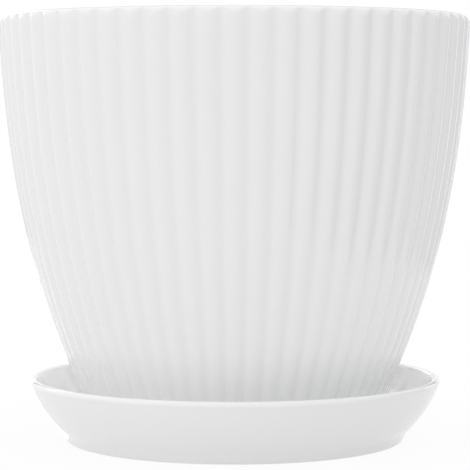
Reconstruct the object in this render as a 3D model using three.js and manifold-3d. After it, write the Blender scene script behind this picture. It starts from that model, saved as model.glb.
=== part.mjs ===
// Ribbed plastic flower pot standing loose in its round saucer.
// Millimetres, +Z up. The origin is on the ground, under the middle of the saucer.

import * as THREE from 'three';
import { mergeVertices } from 'three/addons/utils/BufferGeometryUtils.js';
import Module from 'manifold-3d';

const wasm = await Module();
wasm.setup();

// Pot, outside. Heights on the pot are measured from the face that its foot stands on.
const potHeight = 158.5;
const potRimRadius = 90;
const potFootRadius = 52;
const potRimLean = 0.06;
const potBellyPower = 2.5;
const potFootRound = 1;

// Ribs: convex arcs side by side, each groove a sharp valley between two of them
const ribCount = 60;
const ribDepthAtRim = 1.3;

// Rim: the outer edge is rounded over, which ends the grooves. The lip is thicker than the wall.
const lipHeight = 3.6;
const lipRoundWidth = 2.8;
const lipInsideRound = 0.6;
const lipTaper = 8;

// Pot, inside and underneath
const potWall = 2.8;
const potFloor = 2.8;
const potFloorCorner = 6;
const footRingWidth = 3;
const footRingHeight = 3.2;

// Water ways through the floor, and out under the foot ring
const drainCount = 6;
const drainRadius = 4.5;
const drainInset = 22;
const notchCount = 4;
const notchWidth = 14;
const notchHeight = 2;

// Saucer. Its foot stands a water gap further out than the foot of the pot.
const waterGap = 13;
const saucerHeight = 24.5;
const saucerFlare = 14.3;
const saucerFloor = 2.25;
const saucerRecess = 2.25;
const saucerFootHeight = 3.7;
const saucerFootDraft = 1.6;
const saucerFootEdgeWidth = 1.4;
const saucerFootEdgeHeight = 1.2;
const saucerFootRingWidth = 3.6;
const saucerFloorInset = 3;
const saucerLipHalfWidth = 1.6;
const saucerLipHalfHeight = 1.55;

// Slopes of the saucer's wall, from upright
const flareAtFoot = THREE.MathUtils.degToRad(46);
const flareAtRim = THREE.MathUtils.degToRad(20);
const flareAtFloor = THREE.MathUtils.degToRad(80);
const lipUndercut = THREE.MathUtils.degToRad(45);

// How finely the curves are cut into flats
const columnsPerRib = 4;
const smoothColumns = 72;
const wallSteps = 9;
const lipSteps = 5;
const edgeSteps = 2;
const cornerSteps = 3;
const insideSteps = 7;
const saucerWallSteps = 7;
const drainColumns = 16;
const overshoot = 1;

// Derived sizes
const ribTop = potHeight - lipHeight;
const potBelly = potRimRadius - potFootRadius - potRimLean * ribTop;
const potFloorTop = footRingHeight + potFloor;
const lipInsideRadius = potRimRadius - lipRoundWidth - lipInsideRound;
const drainRingRadius = potFootRadius - drainInset;
const potSeat = saucerRecess + saucerFloor;
const saucerFootRadius = potFootRadius + waterGap;
const saucerRimRadius = saucerFootRadius + saucerFlare;

const white = new THREE.MeshStandardMaterial({ color: 0xf1f1f1, roughness: 0.18, metalness: 0 });

// Radius over the rib crests: an almost straight wall at the rim that curves in to the foot
function crestRadius(height) {
  const below = Math.max(ribTop - height, 0);
  return potRimRadius - potRimLean * below - potBelly * (below / ribTop) ** potBellyPower;
}

// How far the wall leans out at a height, from upright
function wallLean(height) {
  const step = 0.01;
  return Math.atan((crestRadius(height + step) - crestRadius(height)) / step);
}

// Radius of the ribbed surface. turn counts ribs round the pot, and 0 is the middle of a rib.
function ribbedRadius(height, turn) {
  const offCrest = 2 * (turn - Math.round(turn));
  const crest = crestRadius(height);
  const depth = ribDepthAtRim * crest / potRimRadius;
  return crest - depth * offCrest ** 2;
}

// Points of an elliptical arc about a centre, from one angle to another
function arc(centreRadius, centreHeight, width, height, from, to, steps) {
  const points = [];
  for (let i = 0; i <= steps; i += 1) {
    const angle = from + (to - from) * i / steps;
    points.push(new THREE.Vector2(
      centreRadius + width * Math.cos(angle),
      centreHeight + height * Math.sin(angle),
    ));
  }
  return points;
}

// Points of a smooth wall between two ends, whose slopes there are given from upright
function flaredWall(bottom, bottomSlope, top, topSlope, steps) {
  const rise = top.y - bottom.y;
  const run = top.x - bottom.x;
  const lowerRise = (run - rise * Math.tan(topSlope)) / (Math.tan(bottomSlope) - Math.tan(topSlope));
  const bend = new THREE.Vector2(bottom.x + lowerRise * Math.tan(bottomSlope), bottom.y + lowerRise);
  return new THREE.QuadraticBezierCurve(bottom, bend, top).getPoints(steps);
}

// Turns an outline about the Z axis. Column 0 faces -Y.
function revolve(points, columns) {
  return new THREE.LatheGeometry(points, columns).rotateX(Math.PI / 2);
}

function solidFrom(geometry) {
  geometry.deleteAttribute('normal');
  geometry.deleteAttribute('uv');
  const merged = mergeVertices(geometry, 1e-4);
  const corners = Array.from(merged.index.array);
  const triangles = [];
  for (let i = 0; i < corners.length; i += 3) {
    const [a, b, c] = corners.slice(i, i + 3);
    if (a !== b && b !== c && c !== a) {
      triangles.push(a, b, c);
    }
  }
  return new wasm.Manifold(new wasm.Mesh({
    numProp: 3,
    vertProperties: new Float32Array(merged.attributes.position.array),
    triVerts: new Uint32Array(triangles),
  }));
}

function meshFrom(solid, name) {
  const result = solid.getMesh();
  const geometry = new THREE.BufferGeometry();
  geometry.setAttribute('position', new THREE.BufferAttribute(result.vertProperties, 3));
  geometry.setIndex(new THREE.BufferAttribute(result.triVerts, 1));
  const flat = geometry.toNonIndexed();
  flat.computeVertexNormals();
  const mesh = new THREE.Mesh(flat, white);
  mesh.name = name;
  return mesh;
}

// The pot's outside as one full block: foot edge, wall and rounded lip, then the grooves pressed in
function potBlock() {
  const points = [new THREE.Vector2(0, 0)];
  const footEdge = crestRadius(potFootRound);
  points.push(...arc(
    footEdge - potFootRound, potFootRound, potFootRound, potFootRound, -Math.PI / 2, 0, edgeSteps,
  ));
  for (let i = 1; i < wallSteps; i += 1) {
    const height = potFootRound + (ribTop - potFootRound) * i / wallSteps;
    points.push(new THREE.Vector2(crestRadius(height), height));
  }
  points.push(...arc(
    potRimRadius - lipRoundWidth, ribTop, lipRoundWidth, lipHeight, 0, Math.PI / 2, lipSteps,
  ));
  points.push(new THREE.Vector2(0, potHeight));
  return pressGrooves(revolve(points, ribCount * columnsPerRib));
}

function pressGrooves(geometry) {
  const positions = geometry.attributes.position;
  const pitch = 2 * Math.PI / ribCount;
  for (let i = 0; i < positions.count; i += 1) {
    const x = positions.getX(i);
    const y = positions.getY(i);
    const radius = Math.hypot(x, y);
    const limit = ribbedRadius(positions.getZ(i), Math.atan2(x, -y) / pitch);
    if (radius > limit) {
      positions.setX(i, x * limit / radius);
      positions.setY(i, y * limit / radius);
    }
  }
  return geometry;
}

// The space for soil: flat floor, rounded corner, smooth wall, and a taper in to the lip's rounded edge
function potCavity() {
  const cornerLean = wallLean(potFloorTop);
  const cornerTop = potFloorTop + potFloorCorner * (1 - Math.sin(cornerLean));
  const cornerCentre = crestRadius(cornerTop) - potWall - potFloorCorner * Math.cos(cornerLean);
  const taperStart = ribTop - lipTaper;

  const points = [new THREE.Vector2(0, potFloorTop)];
  points.push(...arc(
    cornerCentre, potFloorTop + potFloorCorner, potFloorCorner, potFloorCorner,
    -Math.PI / 2, -cornerLean, cornerSteps,
  ));
  for (let i = 1; i <= insideSteps; i += 1) {
    const height = cornerTop + (taperStart - cornerTop) * i / insideSteps;
    points.push(new THREE.Vector2(crestRadius(height) - potWall, height));
  }
  points.push(new THREE.Vector2(lipInsideRadius, ribTop));
  points.push(...arc(
    lipInsideRadius + lipInsideRound, potHeight - lipInsideRound, lipInsideRound, lipInsideRound,
    Math.PI, Math.PI / 2, edgeSteps,
  ));
  points.push(new THREE.Vector2(lipInsideRadius + lipInsideRound, potHeight + overshoot));
  points.push(new THREE.Vector2(0, potHeight + overshoot));
  return revolve(points, smoothColumns);
}

// The hollow under the floor, inside the foot ring
function footHollow() {
  const radius = potFootRadius - footRingWidth;
  const depth = footRingHeight + overshoot;
  const hollow = new THREE.CylinderGeometry(radius, radius, depth, smoothColumns);
  return hollow.rotateX(Math.PI / 2).translate(0, 0, footRingHeight - depth / 2);
}

function drainHole(index) {
  const length = potFloor + 2 * overshoot;
  const angle = 2 * Math.PI * index / drainCount;
  const hole = new THREE.CylinderGeometry(drainRadius, drainRadius, length, drainColumns);
  hole.rotateX(Math.PI / 2);
  hole.translate(drainRingRadius, 0, footRingHeight + potFloor / 2);
  return hole.rotateZ(angle);
}

// A gap under the foot ring, half way between the axes, that lets the water out
function footNotch(index) {
  const reach = potWall + footRingWidth + 2 * overshoot;
  const depth = notchHeight + overshoot;
  const angle = 2 * Math.PI * (index + 0.5) / notchCount;
  const notch = new THREE.BoxGeometry(reach, notchWidth, depth);
  notch.translate(potFootRadius - footRingWidth / 2, 0, notchHeight - depth / 2);
  return notch.rotateZ(angle);
}

function makePot() {
  let pot = solidFrom(potBlock());
  pot = pot.subtract(solidFrom(potCavity()));
  pot = pot.subtract(solidFrom(footHollow()));
  for (let i = 0; i < drainCount; i += 1) {
    pot = pot.subtract(solidFrom(drainHole(i)));
  }
  for (let i = 0; i < notchCount; i += 1) {
    pot = pot.subtract(solidFrom(footNotch(i)));
  }
  const mesh = meshFrom(pot, 'pot');
  mesh.position.z = potSeat;
  return mesh;
}

// One closed outline: recessed underside, foot ring with a rounded edge, flared wall, round lip and the inside
function makeSaucer() {
  const lipArc = (from, to, steps) => arc(
    saucerRimRadius - saucerLipHalfWidth, saucerHeight - saucerLipHalfHeight,
    saucerLipHalfWidth, saucerLipHalfHeight,
    from, to, steps,
  );
  const lip = [
    ...lipArc(-lipUndercut, 0, edgeSteps),
    ...lipArc(0, Math.PI / 2, cornerSteps).slice(1),
    ...lipArc(Math.PI / 2, Math.PI - flareAtRim, edgeSteps).slice(1),
  ];
  const footCorner = new THREE.Vector2(saucerFootRadius, 0);
  const footTop = new THREE.Vector2(saucerFootRadius + saucerFootDraft, saucerFootHeight);
  const edgeStart = new THREE.Vector2(saucerFootRadius - saucerFootEdgeWidth, 0);
  const edgeEnd = footCorner.clone().lerp(footTop, saucerFootEdgeHeight / saucerFootHeight);
  const floorEdge = new THREE.Vector2(saucerFootRadius - saucerFloorInset, potSeat);
  const ringInside = saucerFootRadius - saucerFootRingWidth;

  const footEdge = new THREE.QuadraticBezierCurve(edgeStart, footCorner, edgeEnd).getPoints(cornerSteps);
  const outside = flaredWall(footTop, flareAtFoot, lip[0], flareAtRim, saucerWallSteps);
  const inside = flaredWall(floorEdge, flareAtFloor, lip.at(-1), flareAtRim, saucerWallSteps);

  const points = [
    new THREE.Vector2(0, saucerRecess),
    new THREE.Vector2(ringInside, saucerRecess),
    new THREE.Vector2(ringInside, 0),
    ...footEdge,
    ...outside,
    ...lip.slice(1, -1),
    ...inside.reverse(),
    new THREE.Vector2(0, potSeat),
  ];
  return meshFrom(solidFrom(revolve(points, smoothColumns)), 'saucer');
}

const group = new THREE.Group();
group.add(makeSaucer());
group.add(makePot());

export default group;
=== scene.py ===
"""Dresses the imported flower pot: a ribbed glossy pot that stands loose in its smooth saucer.

Everything is in metres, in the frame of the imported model: +Z up, the ground at zero, a rib facing -Y.
"""

import logging
import math
from collections.abc import Iterable
from dataclasses import dataclass
from enum import Enum

import bpy
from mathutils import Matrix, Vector


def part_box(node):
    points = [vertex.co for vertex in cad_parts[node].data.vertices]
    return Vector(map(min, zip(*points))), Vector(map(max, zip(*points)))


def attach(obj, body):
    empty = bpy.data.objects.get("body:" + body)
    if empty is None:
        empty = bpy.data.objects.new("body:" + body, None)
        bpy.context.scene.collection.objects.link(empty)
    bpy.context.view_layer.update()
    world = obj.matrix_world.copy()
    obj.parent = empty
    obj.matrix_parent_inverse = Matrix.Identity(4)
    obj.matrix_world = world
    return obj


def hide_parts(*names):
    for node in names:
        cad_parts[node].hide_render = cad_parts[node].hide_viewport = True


log = logging.getLogger("flower_pot")

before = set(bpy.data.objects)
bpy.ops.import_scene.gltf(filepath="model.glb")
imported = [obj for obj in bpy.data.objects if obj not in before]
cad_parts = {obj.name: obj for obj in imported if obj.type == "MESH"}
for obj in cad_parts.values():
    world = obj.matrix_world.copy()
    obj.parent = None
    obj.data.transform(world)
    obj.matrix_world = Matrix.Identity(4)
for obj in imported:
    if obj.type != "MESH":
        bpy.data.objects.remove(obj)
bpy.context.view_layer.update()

# Added to a column's number before it is rounded down to the number of its rib.
COLUMN_NUDGE = 0.01
# Points nearer to each other than this become one, which closes the pot's seam and its two poles.
MERGE_DISTANCE = 0.000002
DRAIN_SIDES = 40

Point = tuple[float, float]
Triple = tuple[float, float, float]


class Node(Enum):
    """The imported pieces, which are also the names of their bodies."""

    POT = "pot"
    SAUCER = "saucer"


class Slot(Enum):
    """The record's material slots."""

    WHITE_PLASTIC = "white_plastic"


class Signal:
    """A node's output that takes part in Python arithmetic. Each operation adds its own node."""

    def __init__(self, graph: "Graph", socket: bpy.types.NodeSocket) -> None:
        """Keeps the tree and the output socket."""
        self.graph = graph
        self.socket = socket

    def math(self, operation: str, *values: "Signal | float") -> "Signal":
        """Adds a Math node.

        Args:
            operation: the Math node's operation.
            values: the node's inputs, in order.

        Returns:
            The node's result.
        """
        inputs = dict(enumerate(values))
        return self.graph.take("ShaderNodeMath", {"operation": operation}, inputs)

    def __add__(self, other: "Signal | float") -> "Signal":
        """self + other."""
        return self.math("ADD", self, other)

    def __radd__(self, other: float) -> "Signal":
        """other + self."""
        return self.math("ADD", other, self)

    def __sub__(self, other: "Signal | float") -> "Signal":
        """self - other."""
        return self.math("SUBTRACT", self, other)

    def __rsub__(self, other: float) -> "Signal":
        """other - self."""
        return self.math("SUBTRACT", other, self)

    def __mul__(self, other: "Signal | float") -> "Signal":
        """self * other."""
        return self.math("MULTIPLY", self, other)

    def __rmul__(self, other: float) -> "Signal":
        """other * self."""
        return self.math("MULTIPLY", other, self)

    def __truediv__(self, other: "Signal | float") -> "Signal":
        """self / other."""
        return self.math("DIVIDE", self, other)

    def __rtruediv__(self, other: float) -> "Signal":
        """other / self."""
        return self.math("DIVIDE", other, self)

    def __pow__(self, other: "Signal | float") -> "Signal":
        """self to the power of other."""
        return self.math("POWER", self, other)

    def floor(self) -> "Signal":
        """The whole number below."""
        return self.math("FLOOR", self)

    def size(self) -> "Signal":
        """The value without its sign."""
        return self.math("ABSOLUTE", self)

    def sine(self) -> "Signal":
        """The sine, of radians."""
        return self.math("SINE", self)

    def cosine(self) -> "Signal":
        """The cosine, of radians."""
        return self.math("COSINE", self)

    def at_least(self, other: "Signal | float") -> "Signal":
        """The larger of the two."""
        return self.math("MAXIMUM", self, other)

    def at_most(self, other: "Signal | float") -> "Signal":
        """The smaller of the two."""
        return self.math("MINIMUM", self, other)


class Graph:
    """Adds nodes to one shader or geometry tree."""

    def __init__(self, tree: bpy.types.NodeTree) -> None:
        """Keeps the tree."""
        self.tree = tree

    def add(self, kind: str, settings: dict | None = None, inputs: dict | None = None) -> bpy.types.Node:
        """Adds any node.

        Args:
            kind: the node's type.
            settings: its properties, which are set first.
            inputs: values, Signals or sockets for its inputs, by identifier, name or place.

        Returns:
            The new node.
        """
        node = self.tree.nodes.new(kind)
        for name, value in (settings or {}).items():
            setattr(node, name, value)
        for key, value in (inputs or {}).items():
            socket = self.input_of(node, key)
            if isinstance(value, Signal):
                value = value.socket
            if isinstance(value, bpy.types.NodeSocket):
                self.tree.links.new(value, socket)
            else:
                socket.default_value = value
        return node

    def take(self, kind: str, settings: dict | None = None, inputs: dict | None = None,
             output: int | str = 0) -> Signal:
        """Adds any node and gives one of its outputs.

        Args:
            kind: the node's type.
            settings: its properties.
            inputs: its inputs, as for add.
            output: the output's name or place.

        Returns:
            That output.
        """
        return Signal(self, self.add(kind, settings, inputs).outputs[output])

    @staticmethod
    def input_of(node: bpy.types.Node, key: int | str) -> bpy.types.NodeSocket:
        """Finds an input, by its identifier before its name.

        Args:
            node: the node.
            key: the input's place, identifier or name.

        Returns:
            The input.
        """
        if isinstance(key, int):
            return node.inputs[key]
        for socket in node.inputs:
            if socket.identifier == key:
                return socket
        return node.inputs[key]


def arc(centre: Point, size: Point, start: float, end: float, steps: int) -> list[Point]:
    """Points along an elliptical arc.

    Args:
        centre: the arc's centre, as radius and height.
        size: its half width and half height.
        start: the angle it starts at, in degrees from outwards.
        end: the angle it ends at.
        steps: how many flats it has.

    Returns:
        The points, both ends included.
    """
    turns = [math.radians(start + (end - start) * i / steps) for i in range(steps + 1)]
    return [
        (centre[0] + size[0] * math.cos(turn), centre[1] + size[1] * math.sin(turn))
        for turn in turns
    ]


def bend(start: Point, corner: Point, end: Point, steps: int) -> list[Point]:
    """Points along a smooth curve from start to end that heads for the corner first.

    Args:
        start: where it starts.
        corner: where the tangents of its two ends meet.
        end: where it ends.
        steps: how many flats it has.

    Returns:
        The points, both ends included.
    """
    points = []
    for i in range(steps + 1):
        t = i / steps
        a, b, c = (1 - t) ** 2, 2 * t * (1 - t), t ** 2
        points.append(tuple(a * p + b * q + c * r for p, q, r in zip(start, corner, end)))
    return points


def rounded(before: Point, corner: Point, after: Point, reach: float, steps: int = 4) -> list[Point]:
    """Points that round a corner of an outline off.

    Args:
        before: the outline's point before the corner.
        corner: the corner.
        after: the outline's point after it.
        reach: how far from the corner the rounding starts on both sides.
        steps: how many flats it has.

    Returns:
        The points of the rounding.
    """
    middle = Vector(corner)
    start = middle + (Vector(before) - middle).normalized() * reach
    end = middle + (Vector(after) - middle).normalized() * reach
    return bend(tuple(start), corner, tuple(end), steps)


def flare(bottom: Point, bottom_slope: float, top: Point, top_slope: float, steps: int) -> list[Point]:
    """Points of a wall that opens from one slope to another.

    Args:
        bottom: its lower end, as radius and height.
        bottom_slope: its slope there, in degrees from upright.
        top: its upper end.
        top_slope: its slope there.
        steps: how many flats it has.

    Returns:
        The points, from bottom to top.
    """
    low, high = math.tan(math.radians(bottom_slope)), math.tan(math.radians(top_slope))
    rise = ((top[0] - bottom[0]) - (top[1] - bottom[1]) * high) / (low - high)
    return bend(bottom, (bottom[0] + rise * low, bottom[1] + rise), top, steps)


def link(mesh: bpy.types.Mesh, name: str) -> bpy.types.Object:
    """Puts a mesh into the scene.

    Args:
        mesh: the mesh.
        name: the new object's name.

    Returns:
        The object.
    """
    piece = bpy.data.objects.new(name, mesh)
    bpy.context.scene.collection.objects.link(piece)
    return piece


def outline_object(points: list[Point]) -> bpy.types.Object:
    """An object that holds an outline as one line of edges.

    Args:
        points: the outline, as radius and height.

    Returns:
        The object, with radius as X and height as Z.
    """
    mesh = bpy.data.meshes.new("outline")
    edges = [(i, i + 1) for i in range(len(points) - 1)]
    mesh.from_pydata([(r, 0.0, z) for r, z in points], edges, [])
    return link(mesh, "outline")


def smooth(mesh: bpy.types.Mesh, sharpest: float) -> None:
    """Shades a mesh smooth.

    Args:
        mesh: the mesh.
        sharpest: the angle between two faces, in degrees, over which their edge stays sharp.
    """
    for polygon in mesh.polygons:
        polygon.use_smooth = True
    mesh.set_sharp_from_angle(angle=math.radians(sharpest))


@dataclass(frozen=True)
class GlossyPlastic:
    """White moulded plastic: a glossy, slightly wavy skin with a fine peel and a soft cloudiness."""

    name: str
    base: Triple = (0.95, 0.95, 0.948)
    cloud: Triple = (0.935, 0.937, 0.939)
    cloud_size: float = 0.0352
    roughness: float = 0.09
    roughness_spread: float = 0.04
    wave_size: float = 0.016
    wave_height: float = 0.00003
    peel_size: float = 0.0009
    peel_height: float = 0.0000012
    noise_detail: float = 2.0
    noise_roughness: float = 0.45
    refraction: float = 1.49

    def material(self) -> bpy.types.Material:
        """Builds the material.

        Returns:
            The material, under the finish's name.
        """
        material = bpy.data.materials.new(self.name)
        material.use_nodes = True
        material.node_tree.nodes.clear()
        graph = Graph(material.node_tree)
        place = graph.take("ShaderNodeTexCoord", output="Object")
        cloud = self.noise(graph, place, self.cloud_size)
        wave = self.noise(graph, place, self.wave_size)
        peel = self.noise(graph, place, self.peel_size)
        colour = graph.take(
            "ShaderNodeMix",
            {"data_type": "RGBA"},
            {"Factor_Float": cloud, "A_Color": (*self.base, 1.0), "B_Color": (*self.cloud, 1.0)},
            "Result",
        )
        height = wave * (self.wave_height / self.peel_height) + peel
        relief = graph.take(
            "ShaderNodeBump", None, {"Height": height, "Distance": self.peel_height}, "Normal"
        )
        skin = graph.take(
            "ShaderNodeBsdfPrincipled",
            None,
            {
                "Base Color": colour,
                "Roughness": self.roughness + self.roughness_spread * cloud,
                "IOR": self.refraction,
                "Normal": relief,
            },
        )
        graph.add("ShaderNodeOutputMaterial", None, {"Surface": skin})
        return material

    def noise(self, graph: Graph, place: Signal, size: float) -> Signal:
        """A soft noise over the piece.

        Args:
            graph: the material's graph.
            place: the place on the piece.
            size: about how large the noise's patches are, in metres.

        Returns:
            The noise, from zero to one.
        """
        inputs = {
            "Vector": place,
            "Scale": 1 / size,
            "Detail": self.noise_detail,
            "Roughness": self.noise_roughness,
        }
        return graph.take("ShaderNodeTexNoise", None, inputs)


@dataclass
class Pot:
    """The ribbed pot. Heights are measured from the face that its foot stands on."""

    rim_radius: float
    height: float
    seat: float
    foot_radius: float = 0.052
    lean: float = 0.06
    belly_power: float = 2.5
    foot_round: float = 0.001
    ribs: int = 60
    rib_depth: float = 0.0013
    steps_per_rib: int = 12
    groove_round: float = 0.25
    lip_height: float = 0.0036
    lip_width: float = 0.0028
    lip_inside: float = 0.0006
    lip_taper: float = 0.008
    wall: float = 0.0028
    floor: float = 0.0028
    floor_corner: float = 0.006
    ring_width: float = 0.003
    ring_height: float = 0.0032
    recess_corner: float = 0.0012
    ring_edge: float = 0.0005
    drains: int = 6
    drain_radius: float = 0.0045
    drain_inset: float = 0.022
    notches: int = 4
    notch_width: float = 0.014
    notch_height: float = 0.002
    cut_margin: float = 0.001
    outer_rows: int = 46
    inner_rows: int = 34
    row_crowding: float = 1.4
    foot_steps: int = 5
    lip_steps: int = 12
    lip_inside_steps: int = 5
    floor_corner_steps: int = 8
    sharpest: float = 38.0

    @property
    def rib_top(self) -> float:
        """Height at which the rounded lip takes over from the ribs."""
        return self.height - self.lip_height

    @property
    def belly(self) -> float:
        """How far the wall curves in from the rim to the foot, past its straight lean."""
        return self.rim_radius - self.foot_radius - self.lean * self.rib_top

    @property
    def floor_top(self) -> float:
        """Height of the floor's upper face."""
        return self.ring_height + self.floor

    def crest(self, height: float) -> float:
        """Radius over the rib crests.

        Args:
            height: the height at which it is wanted.

        Returns:
            The radius there.
        """
        below = max(self.rib_top - height, 0.0)
        return self.rim_radius - self.lean * below - self.belly * (below / self.rib_top) ** self.belly_power

    @property
    def lip_inside_radius(self) -> float:
        """Inner radius of the lip, which is thicker than the wall."""
        return self.rim_radius - self.lip_width - self.lip_inside

    def inner(self, height: float) -> float:
        """Inner radius of the wall, which draws in to the lip over the taper.

        Args:
            height: the height at which it is wanted.

        Returns:
            The radius there.
        """
        share = min(max((height - self.rib_top + self.lip_taper) / self.lip_taper, 0.0), 1.0)
        ease = share * share * (3 - 2 * share)
        plain = self.crest(height) - self.wall
        return plain + (self.lip_inside_radius - plain) * ease

    def slope(self, height: float) -> float:
        """The wall's lean from upright at a height, in degrees."""
        step = 0.0001
        return math.degrees(math.atan((self.crest(height + step) - self.crest(height)) / step))

    def outside(self) -> list[Point]:
        """The outline under the foot and up the outside, over the rib crests.

        Returns:
            Its points, from the middle of the underside to the top of the lip.
        """
        ring_inside = self.foot_radius - self.ring_width
        hollow, inner, outer = (0.0, self.ring_height), (ring_inside, self.ring_height), (ring_inside, 0.0)
        edge = self.crest(self.foot_round)
        points = [hollow, (ring_inside / 2, self.ring_height)]
        points += rounded(hollow, inner, outer, self.recess_corner)
        points += rounded(inner, outer, (edge, 0.0), self.ring_edge)
        foot = (edge - self.foot_round, self.foot_round)
        points += arc(foot, (self.foot_round, self.foot_round), -90, 0, self.foot_steps)
        for i in range(1, self.outer_rows):
            height = self.foot_round + (self.rib_top - self.foot_round) * i / self.outer_rows
            points.append((self.crest(height), height))
        lip = (self.rim_radius - self.lip_width, self.rib_top)
        points += arc(lip, (self.lip_width, self.lip_height), 0, 90, self.lip_steps)
        return points

    def inside(self) -> list[Point]:
        """The outline down the smooth inside, whose rows crowd towards the lip.

        Returns:
            Its points, from the top of the lip to the middle of the floor.
        """
        lip_start = self.height - self.lip_inside
        lip = (self.lip_inside_radius + self.lip_inside, lip_start)
        points = arc(lip, (self.lip_inside, self.lip_inside), 90, 180, self.lip_inside_steps)
        slope = self.slope(self.floor_top)
        corner = self.floor_corner
        corner_top = self.floor_top + corner * (1 - math.sin(math.radians(slope)))
        for i in range(1, self.inner_rows):
            share = (i / self.inner_rows) ** self.row_crowding
            height = lip_start + (corner_top - lip_start) * share
            points.append((self.inner(height), height))
        centre = self.crest(corner_top) - self.wall - corner * math.cos(math.radians(slope))
        turning = (centre, self.floor_top + corner)
        points += arc(turning, (corner, corner), -slope, -90, self.floor_corner_steps)
        points += [(centre / 2, self.floor_top), (0.0, self.floor_top)]
        return points

    def tree(self) -> bpy.types.NodeTree:
        """The Geometry Nodes tree that turns an outline, presses the grooves in and cuts the water ways.

        Returns:
            The tree, with an input for each size that it uses.
        """
        tree = bpy.data.node_groups.new("ribbed_shell", "GeometryNodeTree")
        sockets = tree.interface
        sockets.new_socket("Outline", in_out="INPUT", socket_type="NodeSocketGeometry")
        for name in ("Rows", "Ribs", "Steps per Rib", "Drains", "Notches"):
            sockets.new_socket(name, in_out="INPUT", socket_type="NodeSocketInt")
        for name in (
            "Rim Radius", "Rib Top", "Lean", "Belly", "Belly Power", "Rib Depth", "Groove Round", "Seat",
            "Drain Radius", "Drain Circle", "Drain Height", "Drain Length",
            "Notch Circle", "Notch Length", "Notch Width", "Notch Height",
        ):
            sockets.new_socket(name, in_out="INPUT", socket_type="NodeSocketFloat")
        sockets.new_socket("Material", in_out="INPUT", socket_type="NodeSocketMaterial")
        sockets.new_socket("Shell", in_out="OUTPUT", socket_type="NodeSocketGeometry")
        graph = Graph(tree)
        given = graph.add("NodeGroupInput")
        size = {socket.name: Signal(graph, socket) for socket in given.outputs if socket.name}
        shell = self.press_ribs(graph, size)
        shell = self.cut(graph, shell, self.drain_cutters(graph, size))
        shell = self.cut(graph, shell, self.notch_cutters(graph, size))
        shell = graph.take("GeometryNodeRealizeInstances", None, {"Geometry": shell})
        shell = graph.take("GeometryNodeSetMaterial", None, {"Geometry": shell, "Material": size["Material"]})
        graph.add("NodeGroupOutput", None, {"Shell": shell})
        return tree

    @staticmethod
    def press_ribs(graph: Graph, size: dict[str, Signal]) -> Signal:
        """The shell: a grid of rows and columns wrapped round the axis.

        A rib is a convex arc, and each groove between two of them has a narrow rounded bottom. Columns crowd
        towards the grooves.

        Args:
            graph: the tree's graph.
            size: the tree's inputs, by name.

        Returns:
            The closed shell.
        """
        columns = size["Ribs"] * size["Steps per Rib"]
        last_row = size["Rows"] - 1
        grid = graph.take(
            "GeometryNodeMeshGrid",
            None,
            {"Size X": columns, "Size Y": last_row, "Vertices X": columns + 1, "Vertices Y": size["Rows"]},
        )
        spot = graph.add("ShaderNodeSeparateXYZ", None, {0: graph.take("GeometryNodeInputPosition")})
        column = Signal(graph, spot.outputs["X"]) + columns / 2
        row = Signal(graph, spot.outputs["Y"]) + last_row / 2
        turn = (column + COLUMN_NUDGE) / size["Steps per Rib"]
        rib = turn.floor()
        across = (column / size["Steps per Rib"] - rib) * 2 - 1
        off_crest = (across * (math.pi / 2)).sine()
        angle = (rib + off_crest / 2) * (2 * math.pi) / size["Ribs"]
        index = graph.take("FunctionNodeFloatToInt", {"rounding_mode": "ROUND"}, {0: row})
        sample = graph.take(
            "GeometryNodeSampleIndex",
            {"data_type": "FLOAT_VECTOR"},
            {"Geometry": size["Outline"], "Value": graph.take("GeometryNodeInputPosition"), "Index": index},
        )
        place = graph.add("ShaderNodeSeparateXYZ", None, {0: sample})
        height = Signal(graph, place.outputs["Z"])
        below = (size["Rib Top"] - height).at_least(0.0)
        crest = (
            size["Rim Radius"]
            - size["Lean"] * below
            - size["Belly"] * (below / size["Rib Top"]) ** size["Belly Power"]
        )
        arc_end = 1 - size["Groove Round"]
        past_arc = (off_crest.size() - arc_end).at_least(0.0)
        sink = (off_crest * off_crest - past_arc * past_arc / size["Groove Round"]) / arc_end
        ribbed = crest * (1 - size["Rib Depth"] / size["Rim Radius"] * sink)
        radius = Signal(graph, place.outputs["X"]).at_most(ribbed)
        position = graph.take(
            "ShaderNodeCombineXYZ",
            None,
            {
                "X": radius * angle.sine(),
                "Y": radius * angle.cosine() * -1.0,
                "Z": height + size["Seat"],
            },
        )
        wrapped = graph.take("GeometryNodeSetPosition", None, {"Geometry": grid, "Position": position})
        return graph.take(
            "GeometryNodeMergeByDistance", None, {"Geometry": wrapped, "Distance": MERGE_DISTANCE}
        )

    @staticmethod
    def drain_cutters(graph: Graph, size: dict[str, Signal]) -> Signal:
        """Round bars on a circle, one for each drain hole.

        Args:
            graph: the tree's graph.
            size: the tree's inputs, by name.

        Returns:
            The bars.
        """
        circle = graph.take(
            "GeometryNodeMeshCircle", None, {"Vertices": size["Drains"], "Radius": size["Drain Circle"]}
        )
        bar = graph.take(
            "GeometryNodeMeshCylinder",
            None,
            {"Vertices": DRAIN_SIDES, "Radius": size["Drain Radius"], "Depth": size["Drain Length"]},
        )
        return Pot.spread(graph, circle, bar, size["Drain Height"], size["Drains"], shift=0.0)

    @staticmethod
    def notch_cutters(graph: Graph, size: dict[str, Signal]) -> Signal:
        """Blocks across the foot ring, one for each notch, half way between the axes.

        Args:
            graph: the tree's graph.
            size: the tree's inputs, by name.

        Returns:
            The blocks.
        """
        circle = graph.take(
            "GeometryNodeMeshCircle", None, {"Vertices": size["Notches"], "Radius": size["Notch Circle"]}
        )
        block_size = graph.take(
            "ShaderNodeCombineXYZ",
            None,
            {"X": size["Notch Length"], "Y": size["Notch Width"], "Z": size["Notch Height"] * 2},
        )
        block = graph.take("GeometryNodeMeshCube", None, {"Size": block_size})
        return Pot.spread(graph, circle, block, size["Seat"], size["Notches"], shift=0.5)

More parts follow.
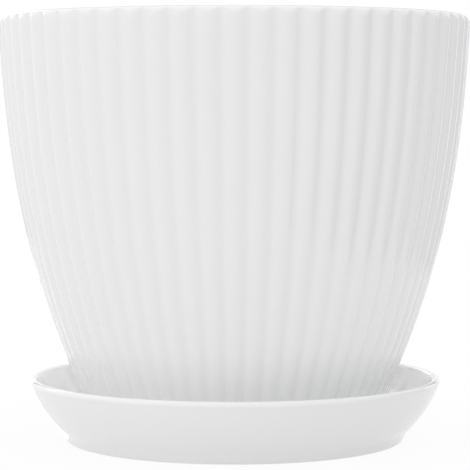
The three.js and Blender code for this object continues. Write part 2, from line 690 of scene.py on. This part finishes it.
    @staticmethod
    def spread(graph: Graph, circle: Signal, cutter: Signal, height: Signal, count: Signal,
               shift: float) -> Signal:
        """Sets a cutter on each point of a circle, turned to face outwards.

        Args:
            graph: the tree's graph.
            circle: the circle's points.
            cutter: the shape to repeat.
            height: the circle's height.
            count: how many points it has.
            shift: how far the circle is turned, as a share of the step between two points.

        Returns:
            The cutters, realized.
        """
        turn = (graph.take("GeometryNodeInputIndex") / count) * (2 * math.pi)
        facing = graph.take("ShaderNodeCombineXYZ", None, {"Z": turn})
        rotation = graph.take("FunctionNodeEulerToRotation", None, {0: facing})
        copies = graph.take(
            "GeometryNodeInstanceOnPoints", None, {"Points": circle, "Instance": cutter, "Rotation": rotation}
        )
        whole = graph.take("GeometryNodeRealizeInstances", None, {"Geometry": copies})
        lift = graph.take("ShaderNodeCombineXYZ", None, {"Z": height})
        step = graph.take("ShaderNodeCombineXYZ", None, {"Z": shift * 2 * math.pi / count})
        turned = graph.take("FunctionNodeEulerToRotation", None, {0: step})
        return graph.take(
            "GeometryNodeTransform", None, {"Geometry": whole, "Translation": lift, "Rotation": turned}
        )

    @staticmethod
    def cut(graph: Graph, shell: Signal, cutters: Signal) -> Signal:
        """Takes the cutters out of the shell.

        Args:
            graph: the tree's graph.
            shell: the closed shell.
            cutters: closed shapes, clear of each other.

        Returns:
            The shell that is left.
        """
        return graph.take(
            "GeometryNodeMeshBoolean",
            {"operation": "DIFFERENCE", "solver": "MANIFOLD"},
            {"Mesh 1": shell, "Mesh 2": cutters},
        )

    def sizes(self, rows: int, material: bpy.types.Material) -> dict[str, object]:
        """The values of the tree's inputs.

        Args:
            rows: how many points the outline has.
            material: the shell's material.

        Returns:
            The values, by name.
        """
        return {
            "Rows": rows,
            "Ribs": self.ribs,
            "Steps per Rib": self.steps_per_rib,
            "Drains": self.drains,
            "Notches": self.notches,
            "Rim Radius": self.rim_radius,
            "Rib Top": self.rib_top,
            "Lean": self.lean,
            "Belly": self.belly,
            "Belly Power": self.belly_power,
            "Rib Depth": self.rib_depth,
            "Groove Round": self.groove_round,
            "Seat": self.seat,
            "Drain Radius": self.drain_radius,
            "Drain Circle": self.foot_radius - self.drain_inset,
            "Drain Height": self.seat + self.ring_height + self.floor / 2,
            "Drain Length": self.floor + 2 * self.cut_margin,
            "Notch Circle": self.foot_radius - self.ring_width / 2,
            "Notch Length": self.wall + self.ring_width + 2 * self.cut_margin,
            "Notch Width": self.notch_width,
            "Notch Height": self.notch_height,
            "Material": material,
        }

    def build(self, material: bpy.types.Material) -> bpy.types.Object:
        """Builds the dressed pot.

        Args:
            material: its finish.

        Returns:
            The finished piece.
        """
        points = self.outside() + self.inside()[1:]
        source = outline_object(points)
        modifier = source.modifiers.new("ribbed_shell", "NODES")
        modifier.node_group = self.tree()
        identifiers = {
            item.name: item.identifier for item in modifier.node_group.interface.items_tree
            if item.in_out == "INPUT"
        }
        for name, value in self.sizes(len(points), material).items():
            modifier[identifiers[name]] = value
        evaluated = source.evaluated_get(bpy.context.evaluated_depsgraph_get())
        mesh = bpy.data.meshes.new_from_object(evaluated)
        bpy.data.objects.remove(source)
        smooth(mesh, self.sharpest)
        return link(mesh, "ribbed_pot")


@dataclass
class Saucer:
    """The smooth saucer: a foot ring, a flared wall and a round lip."""

    rim_radius: float
    height: float
    seat: float
    foot_radius: float = 0.065
    recess: float = 0.00225
    foot_height: float = 0.0037
    foot_draft: float = 0.0016
    edge_width: float = 0.0014
    edge_height: float = 0.0012
    ring_width: float = 0.0036
    recess_corner: float = 0.0008
    ring_edge: float = 0.0003
    floor_inset: float = 0.003
    lip_half_width: float = 0.0016
    lip_half_height: float = 0.00155
    slope_at_foot: float = 46.0
    slope_at_rim: float = 20.0
    slope_at_floor: float = 80.0
    undercut: float = 45.0
    waist_round: float = 0.0016
    lip_blend: float = 0.0008
    edge_steps: int = 8
    waist_steps: int = 6
    wall_steps: int = 26
    blend_steps: int = 5
    lip_steps: int = 20
    columns: int = 288
    sharpest: float = 38.0

    def outline(self) -> list[Point]:
        """The outline round the outside, over the lip and down the inside.

        Where a corner is rounded, the rounding takes the place of the points on both sides of it.

        Returns:
            Its points, from the middle of the underside to the middle of the floor.
        """
        lip = arc(
            (self.rim_radius - self.lip_half_width, self.height - self.lip_half_height),
            (self.lip_half_width, self.lip_half_height),
            -self.undercut, 180 - self.slope_at_rim, self.lip_steps,
        )
        ring = self.foot_radius - self.ring_width
        middle = (0.0, self.recess)
        ring_top, ring_foot = (ring, self.recess), (ring, 0.0)
        foot, foot_top = (self.foot_radius, 0.0), (self.foot_radius + self.foot_draft, self.foot_height)
        edge_start = (self.foot_radius - self.edge_width, 0.0)
        edge_draft = self.foot_draft * self.edge_height / self.foot_height
        edge_end = (self.foot_radius + edge_draft, self.edge_height)
        floor = (self.foot_radius - self.floor_inset, self.seat)
        wall = flare(foot_top, self.slope_at_foot, lip[0], self.slope_at_rim, self.wall_steps)
        inside = flare(floor, self.slope_at_floor, lip[-1], self.slope_at_rim, self.wall_steps)
        points = [middle, (ring / 2, self.recess)]
        points += rounded(middle, ring_top, ring_foot, self.recess_corner)
        points += rounded(ring_top, ring_foot, foot, self.ring_edge)
        points += bend(edge_start, foot, edge_end, self.edge_steps)
        points += rounded(edge_end, foot_top, wall[2], self.waist_round, self.waist_steps)
        points += wall[3:-2]
        points += rounded(wall[-2], lip[0], lip[3], self.lip_blend, self.blend_steps)
        points += lip[4:]
        points += inside[-2::-1]
        points += [(floor[0] / 2, self.seat), (0.0, self.seat)]
        return points

    def build(self, material: bpy.types.Material) -> bpy.types.Object:
        """Builds the dressed saucer.

        Args:
            material: its finish.

        Returns:
            The finished piece.
        """
        mesh = turned(self.outline(), self.columns)
        mesh.materials.append(material)
        smooth(mesh, self.sharpest)
        return link(mesh, "smooth_saucer")


def turned(outline: list[Point], columns: int) -> bpy.types.Mesh:
    """Turns an outline that starts and ends on the axis about Z.

    Args:
        outline: its points, as radius and height, going outwards and up.
        columns: how many flats there are round the axis.

    Returns:
        A closed mesh with its faces pointing out.
    """
    rim = outline[1:-1]
    count = len(rim)
    vertices = [(0.0, 0.0, outline[0][1]), (0.0, 0.0, outline[-1][1])]
    for column in range(columns):
        angle = 2 * math.pi * column / columns
        vertices += [(r * math.sin(angle), -r * math.cos(angle), z) for r, z in rim]
    faces = []
    for column in range(columns):
        here, there = 2 + column * count, 2 + (column + 1) % columns * count
        faces.append((0, there, here))
        faces.append((1, here + count - 1, there + count - 1))
        for row in range(count - 1):
            faces.append((here + row, there + row, there + row + 1, here + row + 1))
    mesh = bpy.data.meshes.new("turned")
    mesh.from_pydata(vertices, [], faces)
    return mesh


@dataclass(frozen=True)
class Softbox:
    """A large soft lamp that points at a target."""

    name: str
    place: Triple
    target: Triple
    width: float
    height: float
    watts: float

    def build(self) -> None:
        """Adds the lamp."""
        lamp = bpy.data.lights.new(self.name, "AREA")
        lamp.shape = "RECTANGLE"
        lamp.size = self.width
        lamp.size_y = self.height
        lamp.energy = self.watts
        holder = bpy.data.objects.new(self.name, lamp)
        holder.location = self.place
        aim = Vector(self.target) - Vector(self.place)
        holder.rotation_euler = aim.to_track_quat("-Z", "Y").to_euler()
        bpy.context.scene.collection.objects.link(holder)


def upright(left: Point, right: Point, bottom: float, top: float) -> tuple[Triple, ...]:
    """The corners of an upright card.

    Args:
        left: one end of its line on the floor, as X and Y.
        right: the other end.
        bottom: the height of its lower edge.
        top: the height of its upper edge.

    Returns:
        The four corners, in order.
    """
    return (*left, bottom), (*right, bottom), (*right, top), (*left, top)


@dataclass(frozen=True)
class MirrorCard:
    """A card that shows only in reflections: a dark one draws a fine dark line along a glossy outline."""

    name: str
    level: float
    corners: tuple[Triple, ...]

    def build(self) -> bpy.types.Object:
        """Adds the card, flat between its corners.

        Returns:
            The card.
        """
        material = bpy.data.materials.new(self.name)
        material.use_nodes = True
        material.node_tree.nodes.clear()
        graph = Graph(material.node_tree)
        glow = graph.take("ShaderNodeEmission", None, {"Color": (1.0, 1.0, 1.0, 1.0), "Strength": self.level})
        graph.add("ShaderNodeOutputMaterial", None, {"Surface": glow})
        mesh = bpy.data.meshes.new(self.name)
        mesh.from_pydata(self.corners, [], [tuple(range(len(self.corners)))])
        mesh.materials.append(material)
        card = link(mesh, self.name)
        card.visible_camera = False
        card.visible_diffuse = False
        card.visible_transmission = False
        card.visible_volume_scatter = False
        card.visible_shadow = False
        return card


@dataclass(frozen=True)
class CardRow:
    """Upright cards on both sides behind the pot: dark next to its outline, and bright outside that."""

    name: str
    distance: float
    bottom: float
    top: float
    inner: float
    middle: float
    outer: float
    dark: float
    bright_left: float = 1.1
    bright_right: float = 1.5

    def cards(self) -> Iterable[MirrorCard]:
        """The row's four cards.

        Yields:
            The dark and the bright card of the left side, and then those of the right.
        """
        for side, sign, bright in (("left", -1, self.bright_left), ("right", 1, self.bright_right)):
            yield self.card(f"{side}_dark", self.dark, sign * self.inner, sign * self.middle)
            yield self.card(f"{side}_bright", bright, sign * self.middle, sign * self.outer)

    def card(self, kind: str, level: float, start: float, end: float) -> MirrorCard:
        """One card of the row.

        Args:
            kind: its part of the name.
            level: how brightly it glows.
            start: the X of its nearer edge.
            end: the X of its farther edge.

        Returns:
            The card.
        """
        corners = upright((start, self.distance), (end, self.distance), self.bottom, self.top)
        return MirrorCard(f"{self.name}_{kind}_card", level, corners)


@dataclass
class Studio:
    """A white room: a pale floor, soft light, cards for the gloss to mirror, and the photograph's camera."""

    camera_distance: float = 0.832
    camera_height: float = 0.126
    camera_pitch: float = 3.24
    camera_aside: float = 0.00023
    focal_length: float = 165.3
    sensor: float = 36.0
    nearest: float = 0.01
    floor_radius: float = 1.6
    floor_thickness: float = 0.002
    floor_columns: int = 96
    shadow_radius: float = 0.2
    shadow_share: float = 0.08
    floor_white: Triple = (0.7, 0.7, 0.7)
    floor_glow: float = 0.48
    # Painted shade: how far the floor's glow, which lights the object, is dimmed near the pot.
    painted_shade_near_pot: float = 0.17
    room_level: float = 0.45
    room_tilt: float = 0.18
    room_top: float = 0.8
    room_back: float = 0.95
    back_spread: float = 0.4
    bright_side: Triple = (-0.75, -0.66, 0.0)
    room_white: Triple = (1.0, 1.0, 1.0)
    lamp_target: Triple = (0.0, 0.0, 0.09)
    light_bounces: int = 16

    @staticmethod
    def seen(graph: Graph) -> Signal:
        """Tells what is seen or mirrored from what only lights the object.

        Args:
            graph: the material's or the world's graph.

        Returns:
            One where a ray comes from the camera, a reflection or a transmission, and else zero.
        """
        path = graph.add("ShaderNodeLightPath")
        camera, glossy, through = (
            Signal(graph, path.outputs[f"Is {kind} Ray"]) for kind in ("Camera", "Glossy", "Transmission")
        )
        return camera.at_least(glossy).at_least(through)

    def floor(self) -> bpy.types.Object:
        """The pale floor, which glows softly like a light table.

        Where it is seen it is plain white, but for a share of its shading near the pot, with the shadow.
        Its glow, which only lights the object, is dimmed near the pot as painted shade under the saucer.

        Returns:
            The floor.
        """
        material = bpy.data.materials.new("pale_floor")
        material.use_nodes = True
        material.node_tree.nodes.clear()
        graph = Graph(material.node_tree)
        place = graph.take("ShaderNodeTexCoord", output="Object")
        away = graph.take("ShaderNodeVectorMath", {"operation": "LENGTH"}, {0: place}, "Value")
        near = (1 - away / self.shadow_radius).at_least(0.0)
        fade = near * near * (3 - 2 * near)
        shaded = graph.take("ShaderNodeBsdfDiffuse", None, {"Color": (*self.floor_white, 1.0)})
        plain = graph.take("ShaderNodeEmission", None, {"Color": (1.0, 1.0, 1.0, 1.0), "Strength": 1.0})
        # Painted shade: the glow is dimmed near the pot, so the saucer's foot gets less light from below.
        glow = self.floor_glow - self.painted_shade_near_pot * fade
        factor = glow + self.seen(graph) * (1 - glow - self.shadow_share * fade)
        mixed = graph.take("ShaderNodeMixShader", None, {0: factor, 1: shaded, 2: plain})
        graph.add("ShaderNodeOutputMaterial", None, {"Surface": mixed})
        under = -self.floor_thickness
        edge = [(self.floor_radius, under), (self.floor_radius, 0.0)]
        mesh = turned([(0.0, under), *edge, (0.0, 0.0)], self.floor_columns)
        mesh.materials.append(material)
        return link(mesh, "floor")

    def room(self) -> None:
        """The white room, plain white where it is seen or mirrored.

        As light it is softer, and brighter on one side, above and behind the object.
        """
        world = bpy.data.worlds.new("white_room")
        bpy.context.scene.world = world
        world.use_nodes = True
        world.node_tree.nodes.clear()
        graph = Graph(world.node_tree)
        way = graph.take("ShaderNodeTexCoord", output="Generated")
        aside = graph.take(
            "ShaderNodeVectorMath", {"operation": "DOT_PRODUCT"}, {0: way, 1: self.bright_side}, "Value"
        )
        upwards = graph.take("ShaderNodeSeparateXYZ", None, {0: way}, "Z").at_least(0.0)
        behind = graph.take("ShaderNodeSeparateXYZ", None, {0: way}, "Y")
        backdrop = ((behind - (1 - self.back_spread)) / self.back_spread).at_least(0.0)
        level = self.room_level + self.room_tilt * aside + self.room_top * upwards + self.room_back * backdrop
        strength = level + (1 - level) * self.seen(graph)
        air = graph.take(
            "ShaderNodeBackground", None, {"Color": (*self.room_white, 1.0), "Strength": strength}
        )
        graph.add("ShaderNodeOutputWorld", None, {"Surface": air})

    def lamps(self) -> Iterable[Softbox]:
        """The soft lamps.

        Returns:
            One to the left in front of the object, and one to the left behind it.
        """
        return (
            Softbox("left_softbox", (-1.0, -0.8, 0.35), self.lamp_target, width=0.3, height=0.3, watts=0.3),
            Softbox("edge_softbox", (-0.9, 0.7, 0.5), self.lamp_target, width=0.25, height=0.25, watts=0.4),
        )

    def cards(self) -> Iterable[MirrorCard]:
        """The cards that the gloss mirrors.

        The rows line the pot's outline and the sky card its rim. The side card darkens the ribs on the right.
        The backdrop card lights the saucer's lip, and the floor card its flank on the left.

        Returns:
            All the cards.
        """
        upper = CardRow(
            "upper", distance=0.3, bottom=0.117, top=0.18, inner=0.12, middle=0.23, outer=0.305, dark=0.25
        )
        lower = CardRow(
            "lower", distance=0.15, bottom=0.056, top=0.12, inner=0.095, middle=0.16, outer=0.205, dark=0.25
        )
        sky = upright((-0.16, 0.3), (0.16, 0.3), bottom=0.22, top=0.6)
        backdrop = upright((-1.2, 2.38), (-0.25, 2.38), bottom=0.36, top=1.6)
        side = upright((0.25, 0.125), (0.25, -0.16), bottom=0.0, top=0.2)
        lift = 0.0005
        flank = ((-0.0655, -0.014, lift), (-0.0655, 0.5, lift), (-0.3, 0.5, lift))
        return (
            *upper.cards(),
            *lower.cards(),
            MirrorCard("sky_card", level=0.3, corners=sky),
            MirrorCard("backdrop_card", level=2.0, corners=backdrop),
            MirrorCard("side_card", level=0.35, corners=side),
            MirrorCard("floor_card", level=2.0, corners=flank),
        )

    def camera(self) -> None:
        """The photograph's camera: long lens, a little above the pot's middle, looking slightly down."""
        lens = bpy.data.cameras.new("camera")
        lens.lens = self.focal_length
        lens.sensor_width = self.sensor
        lens.clip_start = self.nearest
        holder = bpy.data.objects.new("camera", lens)
        holder.location = (self.camera_aside, -self.camera_distance, self.camera_height)
        holder.rotation_euler = (math.radians(90 - self.camera_pitch), 0.0, 0.0)
        bpy.context.scene.collection.objects.link(holder)
        bpy.context.scene.camera = holder

    def build(self) -> None:
        """Sets the whole studio up."""
        self.floor()
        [card.build() for card in self.cards()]
        self.room()
        for lamp in self.lamps():
            lamp.build()
        self.camera()
        bpy.context.scene.view_settings.view_transform = "Standard"
        bpy.context.scene.cycles.max_bounces = self.light_bounces
        bpy.context.scene.cycles.diffuse_bounces = self.light_bounces


def place(piece: bpy.types.Object, node: Node) -> None:
    """Sets a finished piece on its body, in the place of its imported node, and reports it.

    Args:
        piece: the finished piece.
        node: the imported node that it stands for.
    """
    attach(piece, node.value)
    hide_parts(node.value)
    piece.data.calc_loop_triangles()
    log.info("%s: %d triangles", piece.name, len(piece.data.loop_triangles))


def main() -> None:
    """Builds the pot, the saucer and the studio."""
    logging.basicConfig(level=logging.INFO, format="%(name)s: %(message)s")
    pot_low, pot_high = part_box(Node.POT.value)
    saucer_low, saucer_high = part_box(Node.SAUCER.value)

    pot = Pot(rim_radius=pot_high.x, height=pot_high.z - pot_low.z, seat=pot_low.z)
    place(pot.build(GlossyPlastic("pot_plastic").material()), Node.POT)

    saucer = Saucer(rim_radius=saucer_high.x, height=saucer_high.z - saucer_low.z, seat=pot_low.z)
    place(saucer.build(GlossyPlastic("saucer_plastic").material()), Node.SAUCER)

    Studio().build()


if __name__ == "__main__":
    main()
